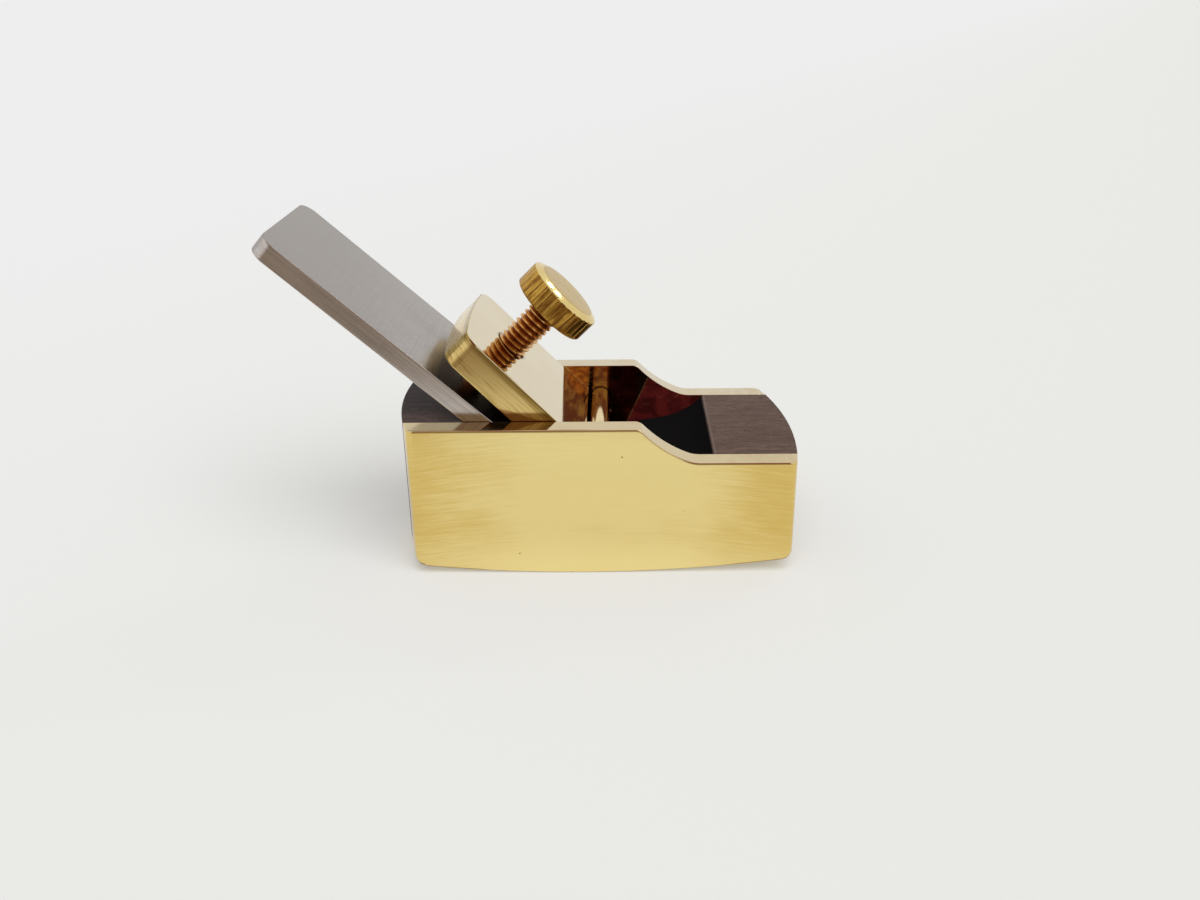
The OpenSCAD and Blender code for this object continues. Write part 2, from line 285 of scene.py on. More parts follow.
# the screw's own axes, from its joint
joints = {joint["name"]: joint for joint in frame["joints"]}
screwBase = Vector(joints["screw_turn"]["pos_m"])
screwAxis = Vector(joints["screw_turn"]["axis"]).normalized()
screwSide = Vector((0, -1, 0))
screwFront = screwAxis.cross(screwSide)


def onScrew(radius, angle, height):
    outward = math.cos(angle) * screwSide + math.sin(angle) * screwFront
    return screwBase + screwAxis * height + radius * outward


camera = {"place": (4.56 * mm, -137.73 * mm, 71.33 * mm), "lens": 33.18, "sensor": 36,
          "near": 0.005, "far": 50, "yaw": 0.0146, "pitch": -0.4106, "roll": 0.0117}


def makeCamera():
    lens = bpy.data.cameras.new("camera")
    lens.lens = camera["lens"]
    lens.sensor_width = camera["sensor"]
    lens.clip_start = camera["near"]
    lens.clip_end = camera["far"]
    eye = bpy.data.objects.new("camera", lens)
    bpy.context.scene.collection.objects.link(eye)
    turn = (Matrix.Rotation(camera["yaw"], 4, "Z") @ Matrix.Rotation(camera["pitch"], 4, "X")
            @ Matrix.Rotation(camera["roll"], 4, "Y") @ Matrix.Rotation(math.pi / 2, 4, "X"))
    eye.matrix_world = Matrix.Translation(camera["place"]) @ turn
    bpy.context.scene.camera = eye


soleTop = 3.6 * mm
toeTop = 15.3 * mm
hollowEdge = min(vert.co.x for vert in nodes["front_infill"].data.vertices if vert.co.z > toeTop - 0.01 * mm)
pinLow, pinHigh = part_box("cross_pin")
pinAt = (pinLow + pinHigh) / 2
pinRadius = (pinHigh.z - pinLow.z) / 2

bodyBrass = {
    "face": (0.90, 0.725, 0.315), "faceWorn": (0.75, 0.53, 0.155), "faceBright": (0.98, 0.82, 0.375),
    "edgeNear": (0.71, 0.575, 0.335), "edgeFar": (0.736, 0.625, 0.445), "edgeWorn": (0.62, 0.47, 0.26),
    "shadedLowEdge": (0.36, 0.20, 0.045), "innerShaded": (0.70, 0.40, 0.14), "innerShadedTarnish": (0.30, 0.11, 0.06),
    "red": (0.20, 0.022, 0.02), "redDark": (0.085, 0.010, 0.010), "redAt": 8.7 * mm, "redLean": 0.45,
    "redLeanFrom": 17 * mm, "redSoft": 0.4 * mm, "redMatt": 0.55,
    "pit": (0.22, 0.13, 0.04), "grime": (0.07, 0.03, 0.012),
    "faceRoughness": 0.20, "edgeRoughness": 0.09, "innerRoughness": 0.06,
    "arch": 3.3, "archAt": 3 * mm, "strokeBump": 0.0010 * mm, "pitBump": 0.02 * mm, "fileBump": 0.0022 * mm,
    "strokes": (230, 400, 7200, 4, 0.65), "broadStrokes": (90, 300, 2300, 3, 0.55),
    "clouds": (75, 60, 120, 3, 0.55), "filed": (700, 300, 1500, 3, 0.6, 0.8),
    "tarnish": (260, 200, 330, 4, 0.6, 0.6),
    "innerFrom": 11 * mm, "innerTo": 12 * mm, "ends": (7 * mm, 26 * mm), "ring": (0.03 * mm, 0.28 * mm),
    "lowBright": (1.0 * mm, 6.5 * mm), "highBright": (13 * mm, 19 * mm),
    "pits": 380, "pitPatches": 520,
}


def bodyBrassLook():
    # brushed outside in shallow arcs, polished on the edges, filed and tarnished inside, with painted sheen,
    # shade and reflections laid over them
    look = newLook("body_brass")
    place = look.place()
    x, y, z = look.axes(place)
    nx, ny, nz = look.axes(look.facing())
    upward = nz.step(0.25, 0.6)
    broad = abs(ny).step(0.90, 0.98).larger(abs(nx).step(0.93, 0.99)).larger((0 - nz).step(0.8, 0.95))
    inside = abs(ny).step(0.6, 0.9) * (1 - abs(y).step(bodyBrass["innerFrom"], bodyBrass["innerTo"]))

    fromMiddle = x - bodyBrass["archAt"]
    arc = z + bodyBrass["arch"] * fromMiddle * fromMiddle
    strokes = look.grain((x, y, arc), bodyBrass["strokes"])
    broadStrokes = look.grain((x, y, arc), bodyBrass["broadStrokes"])
    clouds = look.grain((x, y, z), bodyBrass["clouds"])
    # darker and more streaked towards both ends
    towardsEnds = abs(fromMiddle).step(*bodyBrass["ends"])
    brushed = (strokes - 0.5) * 1.9 + (broadStrokes - 0.5) * 0.6
    deep = (0.10 + brushed * (0.34 + towardsEnds * 0.45) + (clouds - 0.5) * 1.3 + towardsEnds * 0.72).step(0, 1)
    face = look.tint(deep, bodyBrass["face"], bodyBrass["faceWorn"])
    # the faces are brighter low and high: a painted reflection of the pale paper, weaker towards the ends
    lowDown, highUp = 1 - z.step(*bodyBrass["lowBright"]), z.step(*bodyBrass["highBright"])
    paintedSheen = lowDown.larger(highUp * 0.6) * (1 - towardsEnds * 0.7)
    face = look.tint(paintedSheen * 0.8, face, bodyBrass["faceBright"])

    # the top edges take a paler brass than the brushed faces: painted highlight; the near edge a darker one
    # than the far edge: painted reflection
    across = y.step(-bodyBrass["innerFrom"], bodyBrass["innerFrom"])
    edge = look.tint(across, bodyBrass["edgeNear"], bodyBrass["edgeFar"])
    edge = look.tint((strokes * 0.5 + clouds * 0.6).step(0.45, 0.85), edge, bodyBrass["edgeWorn"])
    base = look.tint(upward, face, edge)
    # the downward rims take a dark brown: painted reflection of the shadow under the plane
    shadedLowEdge = (0 - nz).step(0.10, 0.35) * (1 - (0 - nz).step(0.9, 0.97))
    base = look.tint(shadedLowEdge, base, bodyBrass["shadedLowEdge"])

    filed = look.grain((x, y, z), bodyBrass["filed"])
    tarnish = look.grain((x, y, z), bodyBrass["tarnish"])
    dull = (tarnish * 1.1 + (filed - 0.5) * 0.9).step(0.36, 0.72)
    # the inner faces take a darker, redder brass: painted shade in the throat, mottled by tarnish and filing
    innerShaded = look.tint(dull, bodyBrass["innerShaded"], bodyBrass["innerShadedTarnish"])
    # a painted red-brown reflection of the dark wood runs over the cheek's inner face in front of a leaning
    # line
    pastLine = x - (z - bodyBrass["redLeanFrom"]) * bodyBrass["redLean"]
    redReflection = pastLine.step(bodyBrass["redAt"], bodyBrass["redAt"] + bodyBrass["redSoft"]) * inside
    red = look.tint(tarnish.step(0.40, 0.62), bodyBrass["red"], bodyBrass["redDark"])
    innerShaded = look.tint(redReflection, innerShaded, look.tint(filed.step(0.62, 0.80) * 0.4, red, bodyBrass["innerShaded"]))
    base = look.tint(inside, base, innerShaded)
    # a dark ring round the pin on the inner faces: painted shade of the gap round it
    fromPin = ((x - pinAt.x) * (x - pinAt.x) + (z - pinAt.z) * (z - pinAt.z)) ** 0.5
    ring = (1 - fromPin.step(*(pinRadius + reach for reach in bodyBrass["ring"]))) * inside
    base = look.tint(ring * 0.9, base, bodyBrass["grime"])

    pits = 1 - look.cells(look.vector(x, y, z * 1.4), bodyBrass["pits"]).step(0.02, 0.07)
    pit = look.rare(pits, look.vector(x, y, z), bodyBrass["pitPatches"], 0.55, 0.61) * broad
    base = look.tint(pit * 0.75, base, bodyBrass["pit"])

    satin = broad * (1 - inside)
    onFace = bodyBrass["faceRoughness"] - bodyBrass["edgeRoughness"] + (strokes - 0.5) * 0.12
    onInside = bodyBrass["innerRoughness"] - bodyBrass["edgeRoughness"] + tarnish * 0.08
    roughness = bodyBrass["edgeRoughness"] + satin * onFace + inside * onInside
    normal = look.bump(brushed * satin, bodyBrass["strokeBump"])
    normal = look.bump(filed * inside, bodyBrass["fileBump"], normal)
    normal = look.bump(0 - pit, bodyBrass["pitBump"], normal)
    metallic = 1 - redReflection * bodyBrass["redMatt"]
    return look.finish(Base_Color=base, Metallic=metallic, Roughness=roughness, Normal=normal)


capBrass = {
    "lean": 46, "face": (0.79, 0.69, 0.495), "faceWorn": (0.74, 0.62, 0.41), "side": (0.80, 0.60, 0.24),
    "sideWorn": (0.50, 0.33, 0.09), "back": (0.22, 0.15, 0.065), "grime": (0.16, 0.09, 0.035),
    "pit": (0.25, 0.17, 0.07), "foot": (0.36, 0.16, 0.05), "band": (0.34, 0.22, 0.055),
    "faceRoughness": 0.05, "sideRoughness": 0.12, "strokeBump": 0.0011 * mm, "pitBump": 0.012 * mm,
    "strokes": (170, 900, 4200, 4, 0.6), "clouds": (90, 90, 160, 3, 0.5), "fine": (500, 5200, 500, 2, 0.5),
    "pits": 760, "pitPatches": 260, "holeRadius": 2.25 * mm, "holeRing": 0.22 * mm,
    "backFrom": (0.8 * mm, 2.4 * mm), "bandDepths": (-1.15 * mm, -0.35 * mm), "bandAlong": (-9 * mm, 4 * mm),
    "footShadeDepths": (1.2 * mm, 3.9 * mm), "footShadeRise": 1.5 * mm, "footShadeRagged": 0.5 * mm,
    "footHeights": (19.55 * mm, 19.85 * mm),
}


def leaning(degrees):  # out of the upper face of a plate that leans by these degrees, and down along it
    angle = math.radians(degrees)
    return (math.sin(angle), 0, math.cos(angle)), (math.cos(angle), 0, -math.sin(angle))


capOut, capDown = leaning(capBrass["lean"])
capPoints = [vert.co for vert in nodes["lever_cap"].data.vertices]
capBrass["faceAt"] = max(point.dot(Vector(capOut)) for point in capPoints)
capBrass["endAt"] = min(point.dot(Vector(capDown)) for point in capPoints)


def capBrassLook():
    # brushed along the sides, polished on the face, dull and in painted shade against the blade, with a
    # painted highlight on the face, painted shade and reflection at the foot and painted shade round the
    # screw hole
    look = newLook("lever_cap_brass")
    place = look.place()
    y, z = look.axes(place)[1:]
    down = look.along(place, capDown)
    out = look.along(place, capOut)
    towardsFace = look.along(look.facing(), capOut)
    faceUp = towardsFace.step(0.55, 0.9)
    # the underside against the blade is dark: painted shade
    back = (0 - towardsFace).step(0.55, 0.9) * (down - capBrass["endAt"]).step(*capBrass["backFrom"])
    strokes = look.grain((down, y, out), capBrass["strokes"])
    clouds = look.grain((down, y, out), capBrass["clouds"])
    fine = look.grain((down, y, out), capBrass["fine"])
    thick = out - capBrass["faceAt"]  # 0 at the face, less below it
    band = thick.step(*capBrass["bandDepths"]) * (1 - down.step(*capBrass["bandAlong"]) * 0.6)
    # the painted shade and reflection at the foot climbs higher by the cap's underside
    footShadeClimb = (0 - thick).step(*capBrass["footShadeDepths"]) * capBrass["footShadeRise"]
    foot = (1 - (z - footShadeClimb - clouds * capBrass["footShadeRagged"]).step(*capBrass["footHeights"])) * 0.8
    deep = (0.30 + (strokes - 0.5) * 3.0 + (clouds - 0.5) * 2.2).step(0, 1)
    side = look.tint(deep, capBrass["side"], capBrass["sideWorn"])
    side = look.tint(band * (0.35 + strokes), side, capBrass["band"])
    side = look.tint(foot, side, capBrass["foot"])
    # the face takes a paler, creamier brass than the sides: painted highlight
    face = look.tint((clouds * 0.7 + fine * 0.3).step(0.35, 0.8), capBrass["face"], capBrass["faceWorn"])
    base = look.tint(faceUp, side, face)
    base = look.tint(back, base, capBrass["back"])
    pits = 1 - look.cells(place, capBrass["pits"]).step(0.04, 0.10)
    pits = look.rare(pits, place, capBrass["pitPatches"], 0.53, 0.59)
    base = look.tint(pits * 0.8, base, capBrass["pit"])
    # a dark ring on the face round the screw hole: painted shade of the gap round the stud
    rim = capBrass["holeRadius"]
    ring = (1 - screwRadius(look, place).step(rim, rim + capBrass["holeRing"])) * faceUp
    base = look.tint(ring * 0.85, base, capBrass["grime"])
    satin = 1 - faceUp
    onSide = capBrass["sideRoughness"] - capBrass["faceRoughness"] + strokes * 0.08
    roughness = capBrass["faceRoughness"] + satin * onSide + back * 0.3
    normal = look.bump((strokes - 0.5) * satin, capBrass["strokeBump"])
    normal = look.bump(0 - pits, capBrass["pitBump"], normal)
    return look.finish(Base_Color=base, Metallic=1.0, Roughness=roughness, Normal=normal)


screwBrass = {
    "crest": (0.78, 0.46, 0.17), "root": (0.36, 0.13, 0.04),
    "side": (0.60, 0.35, 0.065), "sideWorn": (0.26, 0.11, 0.018),
    "slope": (0.84, 0.66, 0.27), "slopeWorn": (0.74, 0.53, 0.19),
    "top": (0.56, 0.37, 0.07), "topWorn": (0.50, 0.32, 0.05),
    "grime": (0.28, 0.14, 0.04), "nick": (0.16, 0.09, 0.03), "scored": (1500, 1500, 160, 3, 0.6),
    "threadGrime": (900, 3, 0.6), "threadRough": (2600, 2), "headGrime": (1300, 4, 0.65),
    "blotches": (420, 2), "turned": 9000, "nicks": 620, "nickPatches": 300,
    "threadRoughness": 0.34, "headRoughness": 0.12,
    "grooveRadius": 5.26 * mm, "grooveSoft": 0.08 * mm, "coreRadius": 1.61 * mm, "threadRadius": 2.085 * mm,
    "threadBump": 0.006 * mm, "turnedBump": 0.0012 * mm, "sideBump": 0.02 * mm, "nickBump": 0.03 * mm,
}


def screwRadius(look, place):  # how far a point is from the screw's middle line
    offset = look.node("VectorMath", {"operation": "SUBTRACT"}, {0: place, 1: tuple(screwBase)})
    height = look.along(offset, tuple(screwAxis))
    length = look.node("VectorMath", {"operation": "LENGTH"}, {0: offset}, output="Value")
    return (length * length - height * height).larger(0) ** 0.5


def threadLook():
    look = newLook("thread_brass")
    place = look.place()
    crest = screwRadius(look, place).step(screwBrass["coreRadius"], screwBrass["threadRadius"])
    grime = look.noise(place, *screwBrass["threadGrime"])
    # darker in the roots and paler on the crests: painted shade and highlight, mottled at random
    base = look.tint((crest * 1.1 + (grime - 0.5) * 0.7).step(0, 1), screwBrass["root"], screwBrass["crest"])
    roughness = screwBrass["threadRoughness"] - crest * 0.12 + (grime - 0.5) * 0.2
    normal = look.bump(look.noise(place, *screwBrass["threadRough"]), screwBrass["threadBump"])
    return look.finish(Base_Color=base, Metallic=1.0, Roughness=roughness, Normal=normal)


def headLook():
    # a turned top with a sloping rim, and grime in the knurled side
    look = newLook("thumbscrew_head_brass")
    place = look.place()
    up = look.along(look.facing(), tuple(screwAxis))
    radius = screwRadius(look, place)
    top = up.step(0.94, 0.99)
    side = 1 - up.step(0.4, 0.7)
    grime = look.noise(place, *screwBrass["headGrime"])
    blotch = look.noise(place, *screwBrass["blotches"])
    around = [look.along(place, tuple(axis)) for axis in (screwSide, screwFront, screwAxis)]
    scored = look.grain(around, screwBrass["scored"])  # lines across the knurled side
    bottom = screwBrass["grooveRadius"]
    inGroove = 1 - radius.step(bottom, bottom + screwBrass["grooveSoft"])
    dull = (grime * 0.6 + blotch * 0.4 + (scored - 0.5) * 1.6).step(0.30, 0.80)
    sideTone = look.tint(dull, screwBrass["side"], screwBrass["sideWorn"])
    sideTone = look.tint(inGroove * 0.75, sideTone, screwBrass["grime"])
    rubbed = (blotch + (grime - 0.5) * 0.3).step(0.35, 0.75)
    topTone = look.tint(rubbed, screwBrass["top"], screwBrass["topWorn"])
    slopeTone = look.tint(blotch.step(0.3, 0.8), screwBrass["slope"], screwBrass["slopeWorn"])
    base = look.tint(side, look.tint(top, slopeTone, topTone), sideTone)
    nick = 1 - look.cells(place, screwBrass["nicks"]).step(0.05, 0.11)
    nick = look.rare(nick, place, screwBrass["nickPatches"], 0.58, 0.63)
    base = look.tint(nick * 0.85, base, screwBrass["nick"])
    roughness = screwBrass["headRoughness"] + side * (0.20 + (grime - 0.5) * 0.25) + top * 0.06
    turned = look.noise(look.vector(radius * screwBrass["turned"], 0, 0), 1, 2)  # rings from the lathe
    normal = look.bump(turned * top, screwBrass["turnedBump"])
    normal = look.bump((grime + scored) * side, screwBrass["sideBump"], normal)
    normal = look.bump(0 - nick, screwBrass["nickBump"], normal)
    return look.finish(Base_Color=base, Metallic=1.0, Roughness=roughness, Normal=normal)


pinBrass = {"bright": (0.88, 0.74, 0.42), "worn": (0.78, 0.57, 0.26), "grime": (0.09, 0.04, 0.015),
            "roughness": 0.07, "turned": (60, 4200, 60, 3, 0.6), "turnedBump": 0.0008 * mm,
            "wear": (500, 3), "jointShadeFrom": (10.15 * mm, 10.45 * mm)}


def pinLook():
    look = newLook("cross_pin_brass")
    place = look.place()
    x, y, z = look.axes(place)
    turned = look.grain((x, y, z), pinBrass["turned"])
    wear = look.noise(place, *pinBrass["wear"])
    base = look.tint((wear * 0.7 + turned * 0.4).step(0.3, 0.9), pinBrass["bright"], pinBrass["worn"])
    # darker where the pin goes into the cheeks: painted shade of the gap round it
    base = look.tint(abs(y).step(*pinBrass["jointShadeFrom"]), base, pinBrass["grime"])
    roughness = pinBrass["roughness"] + turned * 0.06
    return look.finish(Base_Color=base, Metallic=1.0, Roughness=roughness,
                       Normal=look.bump(turned, pinBrass["turnedBump"]))


bladeSteel = {
    "bed": 42, "tail": (0.355, 0.325, 0.303), "face": (0.430, 0.395, 0.366),
    "faceDark": (0.345, 0.315, 0.293), "side": (0.66, 0.60, 0.56), "sideDark": (0.45, 0.40, 0.37),
    "spot": (0.14, 0.12, 0.11),
    "faceRoughness": 0.24, "sideRoughness": 0.20, "hatchBump": 0.0012 * mm, "tailFrom": (22 * mm, 52 * mm),
    "across": (4200, 120, 300, 3, 0.6), "clouds": (70, 160, 100, 3, 0.5),
    "lengthwise": (140, 900, 5200, 3, 0.6), "crossed": (2600, 260), "spots": 480, "spotPatches": 210,
}
bladeOut, bladeDown = leaning(bladeSteel["bed"])


def bladeLook():
    # ground across, crossed by finer marks from the stone
    look = newLook("blade_steel")
    place = look.place()
    y = look.axes(place)[1]
    ny = look.axes(look.facing())[1]
    up = look.along(place, tuple(-axis for axis in bladeDown))
    out = look.along(place, bladeOut)
    flat = 1 - abs(ny).step(0.4, 0.8)
    across = look.grain((up, y, out), bladeSteel["across"])
    long, short = bladeSteel["crossed"]
    crossed = look.noise(look.vector((up + y) * long, (up - y) * short, 0), 1, 2, 0.5)
    clouds = look.grain((up, y, out), bladeSteel["clouds"])
    lengthwise = look.grain((up, y, out), bladeSteel["lengthwise"])
    tail = up.step(*bladeSteel["tailFrom"])
    worn = (0.3 + (across - 0.5) * 1.5 + (crossed - 0.5) * 1.5 + (clouds - 0.5) * 1.6).step(0, 1)
    face = look.tint(worn, look.tint(tail, bladeSteel["face"], bladeSteel["tail"]), bladeSteel["faceDark"])
    streaked = (0.4 + (lengthwise - 0.5) * 1.6 + (clouds - 0.5)).step(0, 1)
    side = look.tint(streaked, bladeSteel["side"], bladeSteel["sideDark"])
    base = look.tint(flat, side, face)
    spots = 1 - look.cells(place, bladeSteel["spots"]).step(0.03, 0.08)
    spots = look.rare(spots, place, bladeSteel["spotPatches"], 0.58, 0.62)
    base = look.tint(spots * 0.6, base, bladeSteel["spot"])
    onFace = bladeSteel["faceRoughness"] - bladeSteel["sideRoughness"]
    roughness = bladeSteel["sideRoughness"] + flat * onFace + (across - 0.5) * 0.12
    height = flat * (across + crossed * 0.5) + (1 - flat) * lengthwise
    return look.finish(Base_Color=base, Metallic=1.0, Roughness=roughness,
                       Normal=look.bump(height, bladeSteel["hatchBump"]))


darkWood = {
    "heart": (0.036, 0.020, 0.019), "streak": (0.104, 0.064, 0.054), "warm": (0.165, 0.102, 0.070),
    "warmHeart": (0.105, 0.062, 0.042), "pore": (0.006, 0.004, 0.004), "hollowShade": (0.0075, 0.007, 0.007),
    "dust": (0.24, 0.20, 0.18), "arris": (0.20, 0.155, 0.135),
    "roughness": 0.40, "scoopRoughness": 0.26, "fibreBump": 0.006 * mm, "poreBump": 0.03 * mm,
    "streaks": (240, 1500, 1500, 4, 0.65, 0.4), "figure": (60, 260, 260, 3, 0.5),
    "fibres": (1100, 5200, 5200, 3, 0.65), "pores": (700, 3600, 3600), "porePatches": (300, 1200, 1200, 2),
    "specks": 2200, "speckPatches": 420, "toeFrom": (22 * mm, 24 * mm), "heelFrom": (17 * mm, 18.5 * mm),
    "bedWarmth": 0.0, "toeWarmth": 0.6,
    "topWithin": (0.35 * mm, 0.08 * mm), "arrisWide": (0.04 * mm, 0.20 * mm),
    "arrisDeep": (0.12 * mm, 0.05 * mm),
}


def woodLook(name, warm):
    # grain along the plane, with short open pores, and the hollow near black as painted shade
    look = newLook(name)
    place = look.place()
    x, y, z = look.axes(place)
    onTop = z.step(*(toeTop - depth for depth in darkWood["topWithin"]))
    shown = onTop.larger(x.step(*darkWood["toeFrom"])).larger((0 - x).step(*darkWood["heelFrom"]))
    streaks = look.grain((x, y, z), darkWood["streaks"])
    figure = look.grain((x, y, z), darkWood["figure"])
    fibres = look.grain((x, y, z), darkWood["fibres"])
    pores = look.cells(look.vector(*(axis * scale for axis, scale in zip((x, y, z), darkWood["pores"]))), 1)
    pore = (1 - pores.step(0.10, 0.30)) * look.grain((x, y, z), darkWood["porePatches"]).step(0.50, 0.62)
    grain = (0.40 + (streaks - 0.5) * 1.8 + (figure - 0.5) * 1.0 + (fibres - 0.5) * 1.6).step(0, 1)
    base = look.tint(grain, darkWood["heart"], darkWood["streak"])
    base = look.tint(warm, base, look.tint(grain, darkWood["warmHeart"], darkWood["warm"]))
    base = look.tint(pore, base, darkWood["pore"])
    specks = 1 - look.cells(place, darkWood["specks"]).step(0.10, 0.24)
    specks = look.rare(specks, place, darkWood["speckPatches"], 0.48, 0.60)
    base = look.tint(specks * 0.5, base, darkWood["dust"])
    # a paler line along the top edge of the hollow: painted highlight
    nearEdge = 1 - abs(x - hollowEdge).step(*darkWood["arrisWide"])
    arris = nearEdge * z.step(*(toeTop - depth for depth in darkWood["arrisDeep"]))
    base = look.tint(arris * 0.4, base, darkWood["arris"])
    # the hollow and the hidden faces are near black: painted shade over the dark wood
    base = look.tint(shown, darkWood["hollowShade"], base)
    smooth = darkWood["roughness"] - darkWood["scoopRoughness"]
    roughness = darkWood["scoopRoughness"] + shown * smooth + (fibres - 0.5) * 0.12 + pore * 0.2
    normal = look.bump(fibres * (0.3 + shown), darkWood["fibreBump"])
    normal = look.bump(0 - pore, darkWood["poreBump"], normal)
    return look.finish(Base_Color=base, Roughness=roughness, Specular_IOR_Level=0.0, Coat_Weight=shown * 0.5,
                       Coat_IOR=1.25, Coat_Roughness=0.35, Normal=normal)


body = {"outerArris": 0.27 * mm, "innerArris": 0.09 * mm, "soleArris": 0.22 * mm, "woodArris": 0.12 * mm,
        "insideOf": 10.7 * mm, "seam": 0.1 * mm, "barsApart": 2 * mm, "barSteps": 72,
        "barSharpFrom": math.radians(30), "holeSpare": 0.1 * mm, "proud": 0.003 * mm, "tight": 0.01 * mm}


def inHole(point):
    # the rims of the holes for the pin and the rivets stay sharp, so that the flush ends don't show
    return any(math.hypot(point.x - hole[0], point.z - hole[1]) < hole[2] for hole in holes)


def holesOf(nodeName):  # the place and radius of each hole that a node's bars run through
    xs = sorted(vert.co.x for vert in nodes[nodeName].data.vertices)
    groups = [[xs[0]]]
    for x in xs[1:]:
        if x - groups[-1][-1] > body["barsApart"]:
            groups.append([])
        groups[-1].append(x)
    low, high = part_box(nodeName)
    return [((group[0] + group[-1]) / 2, (low.z + high.z) / 2, (group[-1] - group[0]) / 2 + body["holeSpare"])
            for group in groups]


upwards, downwards = (0, 0, 1), (0, 0, -1)
barNodes = ("cross_pin", "rear_infill_rivets", "front_infill_rivets")
holes = [hole for nodeName in barNodes for hole in holesOf(nodeName)]


def cheekArris(point):
    if inHole(point):
        return 0
    return body["innerArris"] if abs(point.y) < body["insideOf"] else body["outerArris"]


def soleArris(point):
    return body["soleArris"] if abs(point.y) > body["insideOf"] and point.z < soleTop - body["seam"] else 0


def woodArris(point):
    return 0 if inHole(point) or point.z < soleTop + body["seam"] else body["woodArris"]


bodyMaterial = bodyBrassLook()
for nodeName, pieceName in (("right_cheek", "cheek_right"), ("left_cheek", "cheek_left")):
    keepPiece(easedMesh(nodeName, [(upwards, cheekArris)]), pieceName, "body",
              nodeName, bodyMaterial)
keepPiece(easedMesh("sole", [(downwards, soleArris)]), "sole_plate", "body",
          "sole", bodyMaterial)
print("brass shell made")

keepPiece(easedMesh("rear_infill", [(upwards, woodArris)]), "bed_infill", "body",
          "rear_infill", woodLook("bed_wood", darkWood["bedWarmth"]))
keepPiece(easedMesh("front_infill", [(upwards, woodArris)]), "toe_infill", "body",
          "front_infill", woodLook("toe_wood", darkWood["toeWarmth"]))
print("infills made")


def barsMesh(nodeName):
    # the node's bars a hair tighter and longer than their holes, so that no gap shows at the flush ends
    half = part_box(nodeName)[1].y + body["proud"]
    angles = [2 * math.pi * i / body["barSteps"] for i in range(body["barSteps"])]
    bm = bmesh.new()
    for x, z, radius in holesOf(nodeName):
        radius += body["tight"] - body["holeSpare"]
        circle = [(x + radius * math.cos(angle), z + radius * math.sin(angle)) for angle in angles]
        rings = [[bm.verts.new((across, y, up)) for across, up in circle] for y in (-half, half)]
        joinRings(bm, *rings)
        bm.faces.new(rings[0])
        bm.faces.new(list(reversed(rings[1])))
    bmesh.ops.recalc_face_normals(bm, faces=bm.faces)
    return finishedMesh(bm, nodeName + "Bars", body["barSharpFrom"])


pin = keepPiece(barsMesh("cross_pin"), "cross_pin_bar", "body", "cross_pin", pinLook())
pin.data.materials.append(bodyMaterial)  # its flush ends were brushed with the cheeks
for face in pin.data.polygons:
    face.material_index = 1 if abs(face.normal.y) > 0.9 else 0
for nodeName, pieceName in (("rear_infill_rivets", "bed_rivets"), ("front_infill_rivets", "toe_rivets")):
    keepPiece(barsMesh(nodeName), pieceName, "body", nodeName, bodyMaterial)
print("cross pin and rivets made")

blade = {"arris": 0.14 * mm, "cutAt": 3.0 * mm, "edgeHeight": 2.9 * mm}
cap = {"arris": 0.26 * mm, "holeArris": 0.05 * mm, "holeReach": 2.4 * mm}


def bladeArris(point):  # the ground edge stays sharp
    return blade["arris"] if point.z > blade["edgeHeight"] else 0


def capArris(point):
    offset = point - screwBase
    fromAxis = (offset - screwAxis * offset.dot(screwAxis)).length
    return cap["holeArris"] if fromAxis < cap["holeReach"] else cap["arris"]


bladeSides = [(Vector(bladeOut), bladeArris), (-Vector(bladeOut), bladeArris)]
bladeMesh = easedMesh("blade", bladeSides, blade["cutAt"])
keepPiece(bladeMesh, "blade_iron", "blade", "blade", bladeLook())
capSides = [(Vector(capOut), capArris), (-Vector(capOut), capArris)]
capMesh = easedMesh("lever_cap", capSides)
keepPiece(capMesh, "lever_cap_plate", "cap", "lever_cap", capBrassLook())
print("blade and cap made")

stud = {"core": 1.6086 * mm, "thread": 2.085 * mm, "pitch": 0.794 * mm,
        "foot": -5.0535 * mm, "shoulder": 6.4 * mm, "spigot": 1.5 * mm, "spigotTop": 8.6 * mm,
        "turns": 13, "steps": 60, "rows": 14, "footRings": 8, "sharpFrom": math.radians(40),
        "ridgeHalf": 0.47, "slopeWide": 0.39}  # the last two in shares of the pitch
threadStart = stud["shoulder"] - (stud["turns"] + 0.5) * stud["pitch"]


def screwRing(bm, radius, height, steps):
    return [bm.verts.new(onScrew(radius, 2 * math.pi * i / steps, height)) for i in range(steps)]


def threadRadius(height, turn):
    # the ridge's section, fading out over half a turn at both ends
    along = (height - threadStart) / stud["pitch"] - turn
    nearest = round(along)
    away = abs(along - nearest)
    wound = nearest + turn
    fade = min(1, max(0, wound * 2), max(0, (stud["turns"] - wound) * 2))
    ridge = min(1, max(0, (stud["ridgeHalf"] - away) / stud["slopeWide"]))
    return stud["core"] + (stud["thread"] - stud["core"]) * ridge * fade


